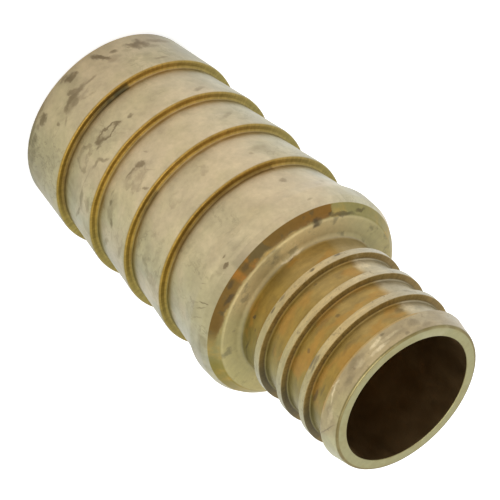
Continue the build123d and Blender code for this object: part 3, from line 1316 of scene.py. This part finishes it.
    def relief(self, graph: Graph, at: Site) -> Wire:
        """Makes the turning lines, chatter and shallow handling marks.

        Args:
            graph: the material's graph.
            at: the point on the body.

        Returns:
            The normal.
        """
        turning = graph.vector(at.x * 36.0, at.y * 36.0, (at.height + at.radius * 1.37) * 4.2)
        turn = graph.noise(turning, 1.0, detail=3.0, roughness=0.7)
        dents = graph.noise(at.place, 260.0, detail=3.0, roughness=0.5)
        level = turn * 0.35 + dents * 0.9 + at.fine * 0.16
        return graph.place("ShaderNodeBump", {"Strength": 0.35, "Distance": 0.05 * MM, "Height": level})

    def material(self) -> bpy.types.Material:
        """Builds the material.

        Returns:
            The finished material.
        """
        made = bpy.data.materials.new("aged brass")
        graph = bare_graph(made)
        tones = self.tones
        at = self.site(graph)
        groups = {kind: self.mark_group(kind) for kind in MarkKind}
        colour = self.barb_steps(graph, at, self.patina(graph, at))

        stains = self.marks(graph, at, groups, STAINS) * at.up.rise(0.5, 0.2)
        stains = (stains + (at.medium - 0.5) * 0.8 * stains.rise(0.0, 0.3)).rise(0.0, 1.0)
        colour = graph.blend(stains * 0.74, colour,
                             graph.blend(at.angle.rise(80.0, 45.0), tones.stain, tones.stain_green))

        colour = self.crimp_spigot(graph, at, self.shoulder(graph, at, self.bevel(graph, at, colour)))
        neck = at.radius.rise(12.5, 12.1) * at.height.rise(42.5, 42.6) * at.height.rise(43.05, 42.95)
        dirt = self.marks(graph, at, groups, SPIGOT_DIRT) * (1.0 - neck)
        colour = graph.blend(dirt * 0.85, colour, tones.pit)
        # painted glints and the neck fillet's painted highlight, laid on with rubbed wear as pale colour
        rubs_and_glints = self.marks(graph, at, groups, WEAR_AND_GLINTS) * (0.6 + at.fine.rise(0.4, 0.6) * 0.4)
        colour = graph.blend(rubs_and_glints * 0.8, colour, tones.pale)
        colour = graph.shade(colour, (at.medium - 0.5) * 0.3 + (at.fine - 0.5) * 0.34 + 1.0)
        inside = at.outward.rise(0.2, -0.2) * at.up.rise(0.6, 0.3)
        colour = graph.blend(inside, colour, tones.bore)

        shader = graph.node("ShaderNodeBsdfPrincipled")
        graph.feed(shader.inputs["Base Color"], colour)
        dull = at.height.rise(42.0, 42.7) * at.outward.rise(-0.6, -0.1)
        graph.feed(shader.inputs["Metallic"], 1.0 - dull * 0.45 - stains * 0.1)
        shine = at.radius.rise(12.2, 11.8) * 0.06 - at.height.band(42.4, 43.0, 0.15) * 0.2
        rough = at.medium.rise(0.2, 0.8) * 0.12 + 0.38 - shine + stains.at_least(dirt) * 0.12
        graph.feed(shader.inputs["Roughness"], rough)
        graph.feed(shader.inputs["Normal"], self.relief(graph, at))
        output = graph.node("ShaderNodeOutputMaterial")
        graph.feed(output.inputs["Surface"], Wire(graph, shader.outputs[0]))
        return made


# ------------------------------------------------------------------ studio
@dataclass(frozen=True)
class Viewpoint:
    """Where the camera stands: it looks towards the mouth's centre, which lies off the middle of its view.

    Attributes:
        elevation: degrees that it looks down by.
        roll: degrees that it is turned by round its own line of sight.
        distance: millimetres from the mouth, along the line of sight.
        mouth_right: millimetres by which the mouth lies right of the view's middle.
        mouth_down: millimetres by which it lies below the middle, taken up the camera's own up.
        lens: focal length in millimetres.
        sensor: the sensor's width in millimetres.
    """

    elevation: float = 36.453
    roll: float = 133.331
    distance: float = 315.8
    mouth_right: float = 18.470
    mouth_down: float = 17.468
    lens: float = 193.857
    sensor: float = 36.0

    def build(self, mouth_height: float) -> bpy.types.Object:
        """Makes the camera.

        Args:
            mouth_height: height of the crimp end's face in millimetres.

        Returns:
            The camera object.
        """
        lift, turn = math.radians(self.elevation), math.radians(self.roll)
        forward = Vector((0.0, math.cos(lift), -math.sin(lift)))
        level = Vector((1.0, 0.0, 0.0))
        upright = Vector((0.0, math.sin(lift), math.cos(lift)))
        right = level * math.cos(turn) + upright * math.sin(turn)
        up = upright * math.cos(turn) - level * math.sin(turn)
        mouth = Vector((0.0, 0.0, mouth_height))
        place = mouth - forward * self.distance - right * self.mouth_right + up * self.mouth_down
        data = bpy.data.cameras.new("camera")
        data.lens, data.sensor_width = self.lens, self.sensor
        data.clip_start, data.clip_end = 0.02, 20.0
        camera = into_scene(bpy.data.objects.new("camera", data))
        turned = Matrix((right, up, -forward)).transposed().to_4x4()
        camera.matrix_world = Matrix.Translation(place * MM) @ turned
        bpy.context.scene.camera = camera
        return camera


@dataclass(frozen=True)
class Studio:
    """Pale floor, soft surrounding light with a dimmer round patch, and one overhead lamp.

    Attributes:
        floor_size: side of the floor in metres.
        surround: strength of the light all round.
        patch_level: strength inside the dim patch, which a stand before the object takes up.
        patch_turn: degrees that the patch lies right of straight ahead.
        patch_lift: degrees that it lies above the floor.
        patch_inner: degrees from its middle to where it starts to fade.
        patch_outer: degrees from its middle to where it has gone.
        lamp_height: metres above the floor.
        lamp_side: metres towards +X.
        lamp_back: metres towards +Y.
        lamp_size: the lamp's width in metres.
        lamp_power: in watts.
    """

    floor_size: float = 8.0
    surround: float = 0.86
    patch_level: float = 0.45
    patch_turn: float = 12.0
    patch_lift: float = 24.0
    patch_inner: float = 7.0
    patch_outer: float = 19.0
    lamp_height: float = 0.55
    lamp_side: float = 0.06
    lamp_back: float = 0.02
    lamp_size: float = 0.3
    lamp_power: float = 1.4

    def floor(self) -> bpy.types.Object:
        """Makes the floor, which shows white and keeps a soft shadow.

        Returns:
            The floor object.
        """
        half = self.floor_size / 2
        mesh = bpy.data.meshes.new("floor")
        corners = [(-half, -half, 0), (half, -half, 0), (half, half, 0), (-half, half, 0)]
        mesh.from_pydata(corners, [], [(0, 1, 2, 3)])
        made = bpy.data.materials.new("floor paint")
        graph = bare_graph(made)
        paint = graph.place("ShaderNodeBsdfDiffuse", {"Color": (0.82, 0.82, 0.82, 1.0)})
        rays = graph.node("ShaderNodeLightPath")
        seen = Wire(graph, rays.outputs["Is Camera Ray"]) * 0.5
        glossy, through = rays.outputs["Is Glossy Ray"], rays.outputs["Is Transmission Ray"]
        strength = seen + (Wire(graph, glossy) + Wire(graph, through)) * 0.2
        glow = graph.place("ShaderNodeEmission", {"Color": (1.0, 1.0, 1.0, 1.0), "Strength": strength})
        both = graph.place("ShaderNodeAddShader", {0: paint, 1: glow})
        output = graph.node("ShaderNodeOutputMaterial")
        graph.feed(output.inputs["Surface"], both)
        mesh.materials.append(made)
        return into_scene(bpy.data.objects.new("floor", mesh))

    def world(self) -> None:
        """Surrounds the object with even light, dimmer in the round patch, and white to the camera."""
        world = bpy.data.worlds.new("surround")
        graph = bare_graph(world)
        direction = graph.place("ShaderNodeTexCoord", {}, output="Generated")
        turn, lift = math.radians(self.patch_turn), math.radians(self.patch_lift)
        middle = (math.sin(turn) * math.cos(lift), -math.cos(turn) * math.cos(lift), math.sin(lift))
        facing = graph.place("ShaderNodeVectorMath", {0: direction, 1: middle}, output="Value",
                             operation="DOT_PRODUCT")
        edge, core = math.cos(math.radians(self.patch_outer)), math.cos(math.radians(self.patch_inner))
        level = self.surround - facing.rise(edge, core) * (self.surround - self.patch_level)
        rays = graph.node("ShaderNodeLightPath")
        camera = Wire(graph, rays.outputs["Is Camera Ray"])
        strength = level * (1.0 - camera) + camera
        back = graph.place("ShaderNodeBackground", {"Color": (1.0, 1.0, 1.0, 1.0), "Strength": strength})
        output = graph.node("ShaderNodeOutputWorld")
        graph.feed(output.inputs["Surface"], back)
        bpy.context.scene.world = world

    def lamp(self) -> None:
        """Hangs the overhead lamp, tilted towards the object."""
        data = bpy.data.lights.new("overhead", "AREA")
        data.shape, data.size, data.energy = "DISK", self.lamp_size, self.lamp_power
        lamp = into_scene(bpy.data.objects.new("overhead", data))
        lamp.location = (self.lamp_side, self.lamp_back, self.lamp_height)
        lamp.rotation_euler = (0.0, math.atan2(self.lamp_side, self.lamp_height), 0.0)


def main() -> None:
    """Builds the piece, its finish and the studio."""
    logging.basicConfig(level=logging.INFO, format="%(name)s: %(message)s")
    bpy.context.scene.view_settings.view_transform = "Standard"
    sizes = BodySizes()
    finish = BrassFinish(sizes, BrassTones()).material()
    body = TurnedBody(sizes).build(finish)
    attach(body, "root")
    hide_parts("fitting_body")
    log.info("%s: %d vertices, %d faces", body.name, len(body.data.vertices), len(body.data.polygons))
    studio = Studio()
    view = Viewpoint()
    studio.floor()
    studio.world()
    studio.lamp()
    view.build(sizes.length)
    log.info("studio and camera placed")


if __name__ == "__main__":
    main()
